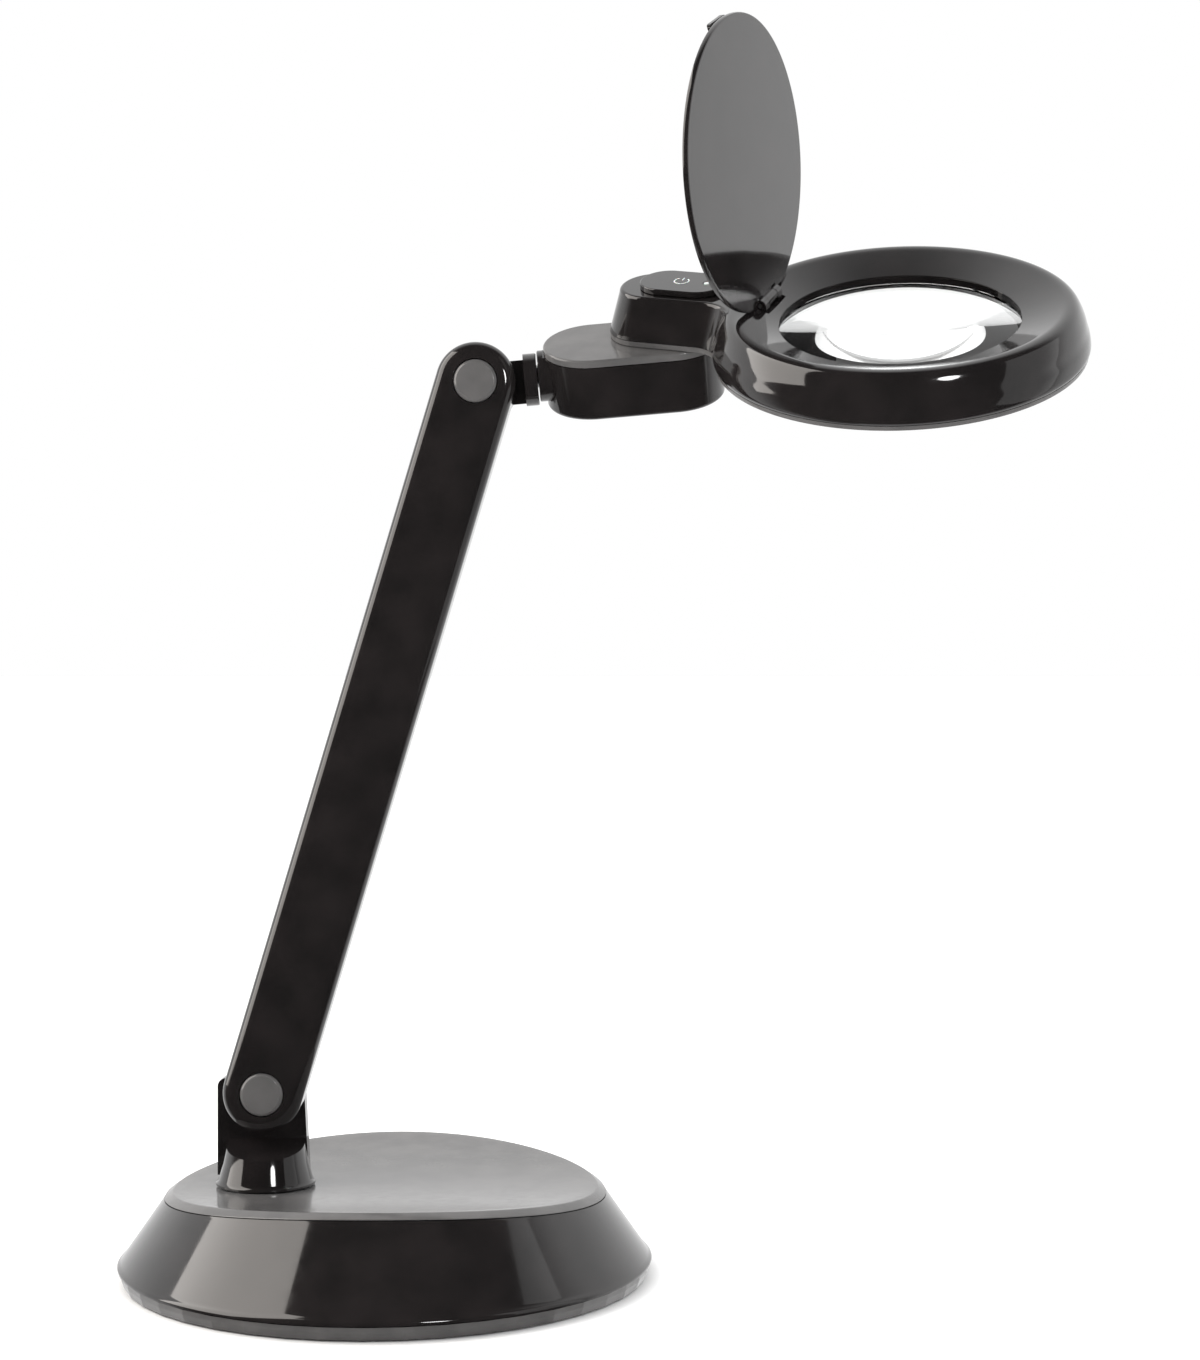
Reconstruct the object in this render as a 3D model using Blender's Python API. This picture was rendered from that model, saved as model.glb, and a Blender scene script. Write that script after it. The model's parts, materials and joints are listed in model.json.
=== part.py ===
"""A desk magnifying lamp: a dished base, a jointed arm, a link box and a ring head with a hinged lens cover.

All sizes are in millimetres and are turned into metres as each mesh is made. The row's frame has its
origin at the centre of the base's underside, +X from the post towards the user's side, +Z up.
"""
import math

import bmesh
import bpy
from mathutils import Matrix, Vector

MM = 0.001
GAP = 0.3
BITE = 0.2  # how far one shape runs into another before they are joined

# base
WIDEST_R = 96.0
WIDEST_Z = 5.1
SKIRT_SLOPE = 0.7
RIM_LOW_Z = 28.6
TROUGH_RISE = 6.4
TROUGH_HALF = 75.0
SKIRT_WALL = 3.0
PLATE_RISE = 2.7
PLATE_FALL_IN = 2.9
COVER_Z = 0.4
PAD_R = 86.0
PAD_THICK = 1.3
BALLAST_R = 62.0
BALLAST_Z = (5.2, 13.2)
SCREW_CIRCLE = 50.0
INLET_Z = 15.5

# post
POST_X = -43.7
POST_FOOT_Z = RIM_LOW_Z + PLATE_RISE + 0.7
SHELF_Z = 46.3
SHELF_SLOPE = 0.247
EAR_Y = (4.8, 11.6)
EAR_TOP_Z = 69.2
POST_YAW = 0.0

# arm
PIVOT_Z = 66.1
ARM_LEAN = 16.7
ARM_LENGTH = 265.8
ARM_R = 14.35
ARM_FRONT_Y = -12.3
ARM_SPLIT_Y = -3.75
ARM_REAR_Y = 4.3
SHELL_WALL = 2.0
CAP_R = 7.7
CAP_FACE_Y = -12.95
BOLT_R = 4.0

# elbow and link
LINK_PITCH = 5.0
LINK_DROP = 1.0
COLLAR_R = 9.4
SEAM_X = 22.4
LINK_TWIST = 28.9
LINK_START = 2.6
LINK_LENGTH = 64.4
LINK_R = 18.0
LINK_Z = (-11.6, 8.4)
LINK_COVER_Z = (8.7, 11.3)
SWIVEL_X = 48.6
SHAFT_R = 5.8

# head
HEAD_SWIVEL = -26.2
LENS_X = 86.0
RING_R = 64.2
CREST_R = 60.0
APERTURE_R = 41.4
SPLIT_Z = 13.4
HEAD_LOW_Z = 11.6
COVER_R = 64.1
TAIL_HALF = (13.8, 12.6)
TAIL_END_X = (-8.5, -4.8)
TAIL_TOP_Z = 30.0
TAIL_REACH = 58.5
NECK_R = 12.0
LENS_R = 43.6
LENS_EDGE_Z = (18.4, 21.4)
LENS_DOME = 5.4
PAD_END_X = (0.1, 12.3)
PAD_HALF = 9.7
PAD_TOP_Z = 32.3
DOT_X = 15.3
LAMP_IN_R = 46.5
LAMP_OUT_R = 61.5

# lens cover
HINGE_X = 38.05
HINGE_Z = 28.47
LID_OPEN = 96.0
LID_R = 50.3
LID_CENTRE = 48.45
LID_THICK = 2.2
KNUCKLE_R = 2.3
KNUCKLE_HALF = 4.0
EAR_OUT = 8.0

RING = 44
BIG = 36
SMALL = 20
TINY = 12


# ---------------------------------------------------------------- helpers

def start_clean():
    for obj in list(bpy.data.objects):
        bpy.data.objects.remove(obj, do_unlink=True)


def material(name, colour, roughness, metallic=0.0):
    mat = bpy.data.materials.new(name)
    mat.use_nodes = True
    shader = mat.node_tree.nodes["Principled BSDF"]
    shader.inputs["Base Color"].default_value = (*colour, 1.0)
    shader.inputs["Roughness"].default_value = roughness
    shader.inputs["Metallic"].default_value = metallic
    mat.diffuse_color = (*colour, 1.0)
    return mat


def pivot(name, parent, place, turn_axis="Z", degrees=0.0):
    """An empty on a joint's axis; what moves with the joint is its child."""
    empty = bpy.data.objects.new(name, None)
    bpy.context.collection.objects.link(empty)
    empty.parent = parent
    empty.location = Vector(place) * MM
    empty.rotation_euler = [math.radians(degrees) if a == turn_axis else 0.0 for a in "XYZ"]
    return empty


def add(name, bm, parent, mat):
    """Make a bmesh in millimetres a named object in metres, closed and facing outwards."""
    bmesh.ops.remove_doubles(bm, verts=bm.verts, dist=0.001)
    bmesh.ops.recalc_face_normals(bm, faces=bm.faces)
    bmesh.ops.scale(bm, vec=(MM, MM, MM), verts=bm.verts)
    mesh = bpy.data.meshes.new(name)
    bm.to_mesh(mesh)
    bm.free()
    mesh.shade_smooth()
    mesh.set_sharp_from_angle(angle=math.radians(35))
    obj = bpy.data.objects.new(name, mesh)
    bpy.context.collection.objects.link(obj)
    obj.parent = parent
    if mat:
        mesh.materials.append(mat)
    return obj


def tool(name, bm, parent):
    """A shape that only cuts or fills another, and isn't a part."""
    obj = add(name, bm, parent, None)
    obj.hide_render = True
    obj.display_type = "WIRE"
    return obj


def combine(obj, operation, *others):
    for other in others:
        mod = obj.modifiers.new(operation.lower(), "BOOLEAN")
        mod.operation = operation
        mod.solver = "EXACT"
        mod.object = other


def lathe(profile, steps=BIG, centre=(0, 0, 0)):
    """Turn (radius, height) points about Z: a rod if it starts and ends at radius 0, else a ring."""
    bm = bmesh.new()
    verts = [bm.verts.new((r, 0, z)) for r, z in profile]
    edges = [bm.edges.new(pair) for pair in zip(verts, verts[1:])]
    if profile[0][0] > 0:
        edges.append(bm.edges.new((verts[-1], verts[0])))
    bmesh.ops.spin(bm, geom=verts + edges, cent=(0, 0, 0), axis=(0, 0, 1), angle=2 * math.pi,
                   steps=steps, use_merge=True, use_duplicate=False)
    bmesh.ops.remove_doubles(bm, verts=bm.verts, dist=0.001)
    bmesh.ops.translate(bm, vec=centre, verts=bm.verts)
    return bm


def rod(radius, low, high, steps=SMALL, centre=(0, 0, 0)):
    return lathe([(0, low), (radius, low), (radius, high), (0, high)], steps, centre)


def ring(inner, outer, low, high, steps=SMALL, centre=(0, 0, 0)):
    return lathe([(inner, low), (outer, low), (outer, high), (inner, high)], steps, centre)


def prism(outline, low, high):
    bm = bmesh.new()
    face = bm.faces.new([bm.verts.new((x, y, low)) for x, y in outline])
    raised = bmesh.ops.extrude_face_region(bm, geom=[face])["geom"]
    verts = [item for item in raised if isinstance(item, bmesh.types.BMVert)]
    bmesh.ops.translate(bm, vec=(0, 0, high - low), verts=verts)
    bmesh.ops.recalc_face_normals(bm, faces=bm.faces)
    return bm


def box(x, y, z):
    return prism([(x[0], y[0]), (x[1], y[0]), (x[1], y[1]), (x[0], y[1])], *z)


def flat_face(bm, side):
    """The face that looks along +Z (side 1) or -Z (side -1)."""
    return max((f for f in bm.faces if f.normal.z * side > 0.9), key=lambda f: f.calc_area())


def soften(bm, side, width, segments=2):
    bmesh.ops.bevel(bm, geom=list(flat_face(bm, side).edges), offset=width, segments=segments,
                    profile=0.5, affect="EDGES", material=-1)
    return bm


def hollow(bm, side, wall, depth):
    """Sink the inside of a flat end, which leaves a tray that opens on that side."""
    face = flat_face(bm, side)
    bmesh.ops.inset_region(bm, faces=[face], thickness=wall, use_even_offset=True)
    sunk = bmesh.ops.extrude_face_region(bm, geom=[face])["geom"]
    verts = [item for item in sunk if isinstance(item, bmesh.types.BMVert)]
    bmesh.ops.translate(bm, vec=(0, 0, -side * depth), verts=verts)
    if face.is_valid:
        bmesh.ops.delete(bm, geom=[face], context="FACES_ONLY")
    return bm


def capsule(start, end, radius, steps=12):
    """A straight-sided outline with round ends, from one centre to the other."""
    way = math.atan2(end[1] - start[1], end[0] - start[0])
    points = []
    for centre, first in ((end, way - math.pi / 2), (start, way + math.pi / 2)):
        for i in range(steps + 1):
            a = first + math.pi * i / steps
            points.append((centre[0] + radius * math.cos(a), centre[1] + radius * math.sin(a)))
    return points


def along_x(bm):
    """Lay a shape made along Z along +X."""
    bmesh.ops.rotate(bm, matrix=Matrix.Rotation(math.pi / 2, 3, "Y"), verts=bm.verts)
    return bm


def along_y(bm):
    """Lay a shape made along Z along +Y."""
    bmesh.ops.rotate(bm, matrix=Matrix.Rotation(-math.pi / 2, 3, "X"), verts=bm.verts)
    return bm


def upright(outline, y_range, change=None):
    """A plate whose outline stands in the XZ plane, between two depths."""
    bm = prism(outline, -y_range[1], -y_range[0])
    if change:
        change(bm)
    bmesh.ops.rotate(bm, matrix=Matrix.Rotation(math.pi / 2, 3, "X"), verts=bm.verts)
    return bm


def nut(across, bore, low, high):
    """A six-sided nut about Z with a round bore."""
    bm = bmesh.new()
    outer = [bm.verts.new((across * math.cos(math.pi * k / 3), across * math.sin(math.pi * k / 3), low))
             for k in range(6)]
    rim = [bm.edges.new((outer[k], outer[(k + 1) % 6])) for k in range(6)]
    circle = bmesh.ops.create_circle(bm, segments=12, radius=bore, cap_ends=False,
                                     matrix=Matrix.Translation((0, 0, low)))["verts"]
    inner = list({e for v in circle for e in v.link_edges})
    faces = bmesh.ops.bridge_loops(bm, edges=rim + inner)["faces"]
    raised = bmesh.ops.extrude_face_region(bm, geom=faces)["geom"]
    verts = [item for item in raised if isinstance(item, bmesh.types.BMVert)]
    bmesh.ops.translate(bm, vec=(0, 0, high - low), verts=verts)
    return bm


def cone_radius(z):
    return WIDEST_R - SKIRT_SLOPE * (z - WIDEST_Z)


def trough(y):
    """Height of the skirt's rim, which is low at the sides along X and rises to the front and back."""
    return RIM_LOW_Z + TROUGH_RISE * (y / TROUGH_HALF) ** 2


def follow_trough(bm):
    """Move a turned shape so that its rim and top follow the trough and its side stays on the cone."""
    for vert in bm.verts:
        if vert.co.z <= WIDEST_Z:
            continue
        angle = math.atan2(vert.co.y, vert.co.x)
        rim_r = cone_radius(RIM_LOW_Z)
        for _ in range(5):
            rim_r = cone_radius(trough(rim_r * math.sin(angle)))
        share = min(1.0, (vert.co.z - WIDEST_Z) / (RIM_LOW_Z - WIDEST_Z))
        above = max(0.0, vert.co.z - RIM_LOW_Z)
        rim_z = WIDEST_Z + share * (trough(rim_r * math.sin(angle)) - WIDEST_Z)
        scale = cone_radius(rim_z) / cone_radius(min(vert.co.z, RIM_LOW_Z))
        vert.co.x *= scale
        vert.co.y *= scale
        vert.co.z = WIDEST_Z + share * (trough(vert.co.y) - WIDEST_Z) + above
    return bm


# ---------------------------------------------------------------- base

def make_base(mats):
    top_r = cone_radius(RIM_LOW_Z)
    skirt = lathe([(95.2, WIDEST_Z), (95.9, 5.5), (95.9, 6.1), (94.4, 7.4), (top_r, RIM_LOW_Z),
                   (top_r - SKIRT_WALL, RIM_LOW_Z), (91.2, 8.0), (91.2, WIDEST_Z)], RING)
    skirt = add("base_skirt", follow_trough(skirt), None, mats["black"])
    low = RIM_LOW_Z + GAP
    high = RIM_LOW_Z + PLATE_RISE
    inner_rings = [52, 26]
    outer_r = top_r - 0.2
    plate = lathe([(0, low)] + [(r, low) for r in reversed(inner_rings)] + [(outer_r, low)]
                  + [(outer_r - PLATE_FALL_IN, high)] + [(r, high) for r in inner_rings] + [(0, high)], RING)
    plate = add("base_top_plate", follow_trough(plate), None, mats["grey"])
    combine(plate, "DIFFERENCE", tool("post_hole", rod(9.7, 20, 45, SMALL, (POST_X, 0, 0)), None))
    cover = add("base_bottom_cover",
                lathe([(0, 1.6), (PAD_R + 0.4, 1.6), (PAD_R + 0.4, COVER_Z), (93.8, COVER_Z), (94.7, 3.0),
                       (95.0, WIDEST_Z - GAP), (0, WIDEST_Z - GAP)], RING), None, mats["grey"])
    add("foot_pad", rod(PAD_R, 0, PAD_THICK, BIG), None, mats["rubber"])
    ballast = add("ballast_weight", rod(BALLAST_R, *BALLAST_Z, BIG), None, mats["steel"])
    combine(ballast, "DIFFERENCE", tool("ballast_hole", rod(16, 4, 15, SMALL, (POST_X, 0, 0)), None))
    for number, quarter in enumerate((45, 135, 225, 315), 1):
        place = (SCREW_CIRCLE * math.cos(math.radians(quarter)), SCREW_CIRCLE * math.sin(math.radians(quarter)), 0)
        screw = lathe([(0, 1.9), (3.0, 1.9), (3.0, 3.3), (1.5, 3.3), (1.5, 11.5), (0, 11.5)], TINY, place)
        add(f"cover_screw_{number}", screw, None, mats["steel"])
        hole = lathe([(0, 0), (3.4, 0), (3.4, 3.6), (1.9, 3.6), (1.9, 20), (0, 20)], TINY, place)
        hole = tool(f"screw_hole_{number}", hole, None)
        combine(cover, "DIFFERENCE", hole)
        combine(ballast, "DIFFERENCE", hole)
    body = along_y(lathe([(0, 78.0), (5.5, 78.0), (5.5, 90.4), (2.9, 90.4), (2.9, 81.0), (1.0, 81.0),
                          (1.0, 88.5), (0, 88.5)], TINY))
    bmesh.ops.translate(body, vec=(0, 0, INLET_Z), verts=body.verts)
    add("power_inlet", body, None, mats["black"])
    bore = along_y(rod(5.9, 70, 110, TINY))
    bmesh.ops.translate(bore, vec=(0, 0, INLET_Z), verts=bore.verts)
    combine(skirt, "DIFFERENCE", tool("inlet_bore", bore, None))
    add("post_washer", ring(9.7, 14.0, 27.5, 28.5, SMALL, (POST_X, 0, 0)), None, mats["steel"])


# ---------------------------------------------------------------- post

def make_post(axis, mats):
    collar = lathe([(0, 20), (9.2, 20), (9.2, POST_FOOT_Z), (17.9, POST_FOOT_Z), (17.9, POST_FOOT_Z + 0.9),
                    (17.0, POST_FOOT_Z + 1.5),
                    (15.2, 40), (13.6, 48.4), (0, 48.4)], 32)
    collar = add("post_bracket", collar, axis, mats["black"])
    shelf = box((-25, 25), (-30, EAR_Y[0] + BITE), (0, 20))
    for vert in shelf.verts:
        vert.co.z += SHELF_Z + SHELF_SLOPE * vert.co.y
    left, right, corner = -18.2, 13.3, 3.0
    outline = [(left, 34), (right + 1.6, 34), (right + 0.4, 46), (right, 52)]
    for cx, first in ((right - corner, 0), (left + corner, 90)):
        for i in range(5):
            a = math.radians(first + 22.5 * i)
            outline.append((cx + corner * math.cos(a), EAR_TOP_Z - corner + corner * math.sin(a)))
    combine(collar, "DIFFERENCE", tool("shelf_cut", shelf, axis))
    combine(collar, "UNION", tool("post_ear", upright(outline, EAR_Y), axis))
    hole = along_y(rod(BOLT_R + 0.4, 0, 20, SMALL))
    bmesh.ops.translate(hole, vec=(0, 0, PIVOT_Z), verts=hole.verts)
    combine(collar, "DIFFERENCE", tool("post_pivot_hole", hole, axis))
    add("post_swivel_nut", nut(14.0, 9.6, 22.0, 27.2), axis, mats["steel"])


def make_ear_side(name, axis, mats):
    """What sits behind an ear, about the arm's pivot: the nut on the bolt and its dome cap."""
    back = EAR_Y[1] + GAP
    add(f"{name}_pivot_nut", along_y(nut(6.6, BOLT_R + 0.3, back, back + 3.4)), axis, mats["steel"])
    cap = lathe([(0, back + 4.1), (7.4, back + 4.1), (7.4, back), (9.2, back), (9.2, back + 3.6),
                 (8.2, back + 4.9), (6.0, back + 5.4), (0, back + 5.4)], SMALL)
    add(f"{name}_rear_cap", along_y(cap), axis, mats["black"])


# ---------------------------------------------------------------- arm

def make_arm(axis, mats):
    outline = capsule((0, 0), (0, ARM_LENGTH), ARM_R)
    front = upright(outline, (ARM_FRONT_Y, ARM_SPLIT_Y - GAP / 2),
                    lambda bm: (soften(bm, 1, 3.0, 3), hollow(bm, -1, SHELL_WALL, 6.0)))
    front = add("arm_front_shell", front, axis, mats["black"])
    rear = upright(outline, (ARM_SPLIT_Y + GAP / 2, ARM_REAR_Y),
                   lambda bm: (soften(bm, -1, 1.5), hollow(bm, 1, SHELL_WALL, 5.7)))
    rear = add("arm_rear_shell", rear, axis, mats["black"])
    spine = upright(capsule((0, 0), (0, ARM_LENGTH), 9.0, 8), (-6.2, -3.2))
    spine = add("arm_spine", spine, axis, mats["steel"])
    for name, height in (("lower", 0.0), ("upper", ARM_LENGTH)):
        up = (0, 0, height)
        cap_hole = along_y(rod(CAP_R + GAP, -20, -9.5, 32))
        bolt_hole = along_y(rod(BOLT_R + 0.4, -9.0, 20, SMALL))
        for bm in (cap_hole, bolt_hole):
            bmesh.ops.translate(bm, vec=up, verts=bm.verts)
        combine(front, "DIFFERENCE", tool(f"{name}_cap_hole", cap_hole, axis))
        bolt_hole = tool(f"{name}_bolt_hole", bolt_hole, axis)
        combine(rear, "DIFFERENCE", bolt_hole)
        combine(spine, "DIFFERENCE", bolt_hole)
        pieces = {
            f"{name}_pivot_cap": (lathe([(0, CAP_FACE_Y), (CAP_R - 0.9, CAP_FACE_Y), (CAP_R, CAP_FACE_Y + 0.8),
                                         (CAP_R, -10.1), (0, -10.1)], SMALL), "grey"),
            f"{name}_pivot_bolt": (lathe([(0, -9.8), (6.6, -9.8), (6.6, -6.5), (BOLT_R, -6.5), (BOLT_R, 14.6),
                                          (0, 14.6)], SMALL), "steel"),
            f"{name}_friction_washer": (ring(BOLT_R + 0.4, 8.4, -2.9, 1.7), "brass"),
        }
        for piece, (bm, mat) in pieces.items():
            bm = along_y(bm)
            bmesh.ops.translate(bm, vec=up, verts=bm.verts)
            add(piece, bm, axis, mats[mat])


# ---------------------------------------------------------------- elbow

def make_elbow(axis, mats):
    ear = add("elbow_bracket", along_y(rod(ARM_R, *EAR_Y, 32)), axis, mats["black"])
    collar = along_x(lathe([(0, 2), (COLLAR_R, 2), (COLLAR_R, SEAM_X - 0.3), (0, SEAM_X - 0.3)], 32))
    cut = box((-20, 17.4), (-20, EAR_Y[0] + BITE), (-20, 20))
    for vert in cut.verts:
        if vert.co.x > 0:
            vert.co.x -= 0.1 * (vert.co.y - EAR_Y[0])
    for bm in (collar, cut):
        bmesh.ops.translate(bm, vec=(0, 0, LINK_DROP), verts=bm.verts)
    collar = tool("elbow_collar", collar, axis)
    combine(collar, "DIFFERENCE", tool("elbow_shelf_cut", cut, axis))
    combine(ear, "UNION", collar)
    bore = along_x(rod(4.3, 20.4, 30, SMALL))
    bmesh.ops.translate(bore, vec=(0, 0, LINK_DROP), verts=bore.verts)
    combine(ear, "DIFFERENCE", tool("twist_bore", bore, axis),
            tool("elbow_pivot_hole", along_y(rod(BOLT_R + 0.4, 0, 20, SMALL)), axis))


# ---------------------------------------------------------------- link

def make_link(axis, mats):
    ends = (LINK_START + LINK_R, 0), (LINK_START + LINK_LENGTH - LINK_R, 0)
    outline = capsule(*ends, LINK_R, 14)
    low, high = LINK_Z
    housing = hollow(soften(prism(outline, low, high), -1, 1.4), 1, 2.2, high - low - 2.4)
    housing = add("link_housing", housing, axis, mats["black"])
    combine(housing, "UNION", tool("link_collar", along_x(rod(COLLAR_R - 0.2, 0.1, 5.0, 32)), axis))
    combine(housing, "DIFFERENCE", tool("cover_room", box((2.2, 8), (-12, 12), (high, 12)), axis))
    combine(housing, "DIFFERENCE", tool("link_shaft_hole", along_x(rod(4.3, -2, 9, SMALL)), axis))
    low, high = LINK_COVER_Z
    cover = add("link_top_cover", soften(prism(outline, low, high), 1, 0.9), axis, mats["grey"])
    combine(cover, "DIFFERENCE", tool("cover_hole", rod(SHAFT_R + GAP, 5, 20, SMALL, (SWIVEL_X, 0, 0)), axis))
    add("twist_shaft", along_x(rod(4.0, -1.6, 13.5, SMALL)), axis, mats["steel"])
    add("twist_nut", along_x(nut(7.0, 4.3, 7.2, 11.7)), axis, mats["steel"])


# ---------------------------------------------------------------- head

def head_outline(half, end_x, ring_r):
    """The tail's round end and straight sides, which flare through two hollow arcs to meet the ring."""
    fillet_y = half + NECK_R
    fillet_x = LENS_X - math.sqrt((ring_r + NECK_R) ** 2 - fillet_y ** 2)
    turn = math.atan2(LENS_X - fillet_x, fillet_y)
    side = []
    for i in range(8):
        a = turn * i / 7
        side.append((fillet_x + NECK_R * math.sin(a), -fillet_y + NECK_R * math.cos(a)))
    inside = LENS_X - math.sqrt((TAIL_REACH - 4) ** 2 - side[-1][1] ** 2)
    side.append((inside, side[-1][1]))
    end = [(end_x + half * math.cos(a), half * math.sin(a))
           for a in (math.pi * (0.5 + i / 14) for i in range(15))]
    return end + side + [(x, -y) for x, y in reversed(side)]


def tapered(low_outline, low, high_outline, high):
    """A prism whose upper outline differs from its lower one, point for point."""
    bm = prism(low_outline, low, high)
    for vert in bm.verts:
        if vert.co.z > (low + high) / 2:
            nearest = min(range(len(low_outline)),
                          key=lambda i: math.dist(low_outline[i], vert.co.xy))
            vert.co.xy = high_outline[nearest]
    return bm


def ring_profile(low):
    outside = [(RING_R, low), (64.7, 15.0), (64.3, 18.0), (63.5, 20.8), (62.6, 24.0), (61.3, 27.0),
               (CREST_R, 28.9), (58.4, 29.9), (56.4, 30.0), (54.3, 29.4), (APERTURE_R, 25.0)]
    inside = [(APERTURE_R, 22.4), (44.0, 22.4), (44.0, 23.8), (54.4, 26.9), (57.4, 27.0), (59.4, 24.6),
              (61.2, 20.0), (62.2, 15.5), (62.2, low)]
    return outside + inside


def make_head(axis, mats):
    lens_at = (LENS_X, 0, 0)
    low = SPLIT_Z + GAP
    shell = add("head_upper_shell", lathe(ring_profile(low), RING, lens_at), axis, mats["black"])
    foot = head_outline(TAIL_HALF[0], TAIL_END_X[0], RING_R)
    top = head_outline(TAIL_HALF[1], TAIL_END_X[1], CREST_R)
    tail = tool("tail_block", soften(tapered(foot, low, top, TAIL_TOP_Z), 1, 1.2), axis)
    combine(tail, "DIFFERENCE", tool("tail_reach", rod(TAIL_REACH, 0, 50, BIG, lens_at), axis))
    combine(shell, "UNION", tail)
    room = capsule((TAIL_END_X[1], 0), (30, 0), TAIL_HALF[1] - 2.2, 10)
    cavity = tool("tail_cavity", prism(room, 5, TAIL_TOP_Z - 2.2), axis)
    combine(cavity, "DIFFERENCE", tool("ring_keep", rod(62.7, 0, 50, BIG, lens_at), axis))
    pocket = box((HINGE_X - 3.4, HINGE_X + 3.4), (-EAR_OUT - 0.6, EAR_OUT + 0.6), (HINGE_Z - 3.2, 40))
    combine(shell, "DIFFERENCE", cavity, tool("neck_passage", box((15, 27), (-8, 8), (5, 21)), axis),
            tool("hinge_pocket", pocket, axis))
    make_lower_cover(axis, mats, lens_at)
    make_optics(axis, mats, lens_at)
    make_controls(axis, mats)
    make_hinge(axis, mats)


def make_lower_cover(axis, mats, lens_at):
    """The grey underside: one flat plate under the tail and the neck, which runs into a band under the ring."""
    low, high = HEAD_LOW_Z, SPLIT_Z
    cover = lathe([(61.8, low), (COVER_R - 0.7, low), (COVER_R, low + 0.8), (COVER_R, high), (61.8, high)],
                  RING, lens_at)
    cover = add("head_lower_cover", cover, axis, mats["grey"])
    plate = tool("tail_plate", prism(head_outline(TAIL_HALF[0] - 0.1, TAIL_END_X[0], COVER_R - 0.1), low, high), axis)
    combine(plate, "DIFFERENCE", tool("plate_reach", rod(63.0, 0, 50, BIG, lens_at), axis))
    combine(cover, "UNION", plate)
    combine(cover, "DIFFERENCE", tool("swivel_hole", rod(SHAFT_R + GAP, 5, 20, SMALL), axis))


def make_optics(axis, mats, lens_at):
    low, high = LENS_EDGE_Z
    curve = [0, 0.3, 0.6, 0.85]
    under = [(LENS_R * t, low - LENS_DOME * (1 - t * t)) for t in curve]
    over = [(LENS_R * t, high + LENS_DOME * (1 - t * t)) for t in reversed(curve)]
    add("lens", lathe(under + [(LENS_R, low), (LENS_R, high)] + over, BIG, lens_at), axis, mats["glass"])
    seat_z = low - 1.0
    wall_r = LENS_R + GAP
    retainer = [(APERTURE_R + 0.2, HEAD_LOW_Z), (46.2, HEAD_LOW_Z), (46.2, 20.6), (wall_r, 20.6), (wall_r, seat_z),
                (APERTURE_R + 0.2, seat_z)]
    add("lens_retainer", lathe(retainer, BIG, lens_at), axis, mats["black"])
    add("diffuser_ring", ring(LAMP_IN_R, LAMP_OUT_R, HEAD_LOW_Z + 0.6, SPLIT_Z + 0.2, BIG, lens_at), axis,
        mats["frosted"])
    add("led_board", ring(LAMP_IN_R, TAIL_REACH - 0.6, 18.2, 19.8, BIG, lens_at), axis, mats["board"])


def make_controls(axis, mats):
    low = TAIL_TOP_Z + GAP
    pad = prism(capsule((PAD_END_X[0], 0), (PAD_END_X[1], 0), PAD_HALF, 12), low, PAD_TOP_Z)
    pad = add("touch_panel", soften(pad, 1, 0.5, 1), axis, mats["black"])
    combine(pad, "DIFFERENCE", tool("dot_hole", rod(1.5, 29, 35, TINY, (DOT_X, 0, 0)), axis))
    add("indicator_lens", rod(1.1, low, PAD_TOP_Z + 0.1, TINY, (DOT_X, 0, 0)), axis, mats["frosted"])
    add("control_board", box((-9.8, 11), (-8.3, 8.3), (22.0, 23.6)), axis, mats["board"])
    seat = SPLIT_Z + 1.2
    shaft = [(3.4, 2.2), (SHAFT_R, 2.2), (SHAFT_R, seat), (9.0, seat), (9.0, seat + 1.6), (3.4, seat + 1.6)]
    add("swivel_shaft", lathe(shaft, SMALL), axis, mats["steel"])
    add("swivel_nut", nut(9.6, SHAFT_R + GAP, 3.6, 7.6), axis, mats["steel"])
    add("swivel_washer", ring(SHAFT_R + 0.4, 9.0, SPLIT_Z + 0.2, SPLIT_Z + 1.0, SMALL), axis, mats["rubber"])


def make_hinge(axis, mats):
    """A small fork in the ring's pocket and the pin that the lens cover turns on."""
    base_z = HINGE_Z - 2.9
    sides = [(-KNUCKLE_R, base_z), (KNUCKLE_R, base_z), (KNUCKLE_R, HINGE_Z)]
    sides += [(KNUCKLE_R * math.cos(a), HINGE_Z + KNUCKLE_R * math.sin(a))
              for a in (math.radians(20 + 20 * i) for i in range(8))]
    sides += [(-KNUCKLE_R, HINGE_Z)]
    fork = add("hinge_fork", upright([(HINGE_X + x, z) for x, z in sides], (-EAR_OUT, EAR_OUT)), axis,
               mats["black"])
    slot = box((HINGE_X - 9, HINGE_X + 9), (-KNUCKLE_HALF - GAP, KNUCKLE_HALF + GAP), (HINGE_Z - 2.5, 50))
    bore = along_y(rod(1.1, -20, 20, TINY))
    bmesh.ops.translate(bore, vec=(HINGE_X, 0, HINGE_Z), verts=bore.verts)
    combine(fork, "DIFFERENCE", tool("fork_slot", slot, axis), tool("pin_bore", bore, axis))
    pin = along_y(rod(0.8, -EAR_OUT + 0.2, EAR_OUT - 0.2, TINY))
    bmesh.ops.translate(pin, vec=(HINGE_X, 0, HINGE_Z), verts=pin.verts)
    add("hinge_pin", pin, axis, mats["steel"])


# ---------------------------------------------------------------- lens cover

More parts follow.
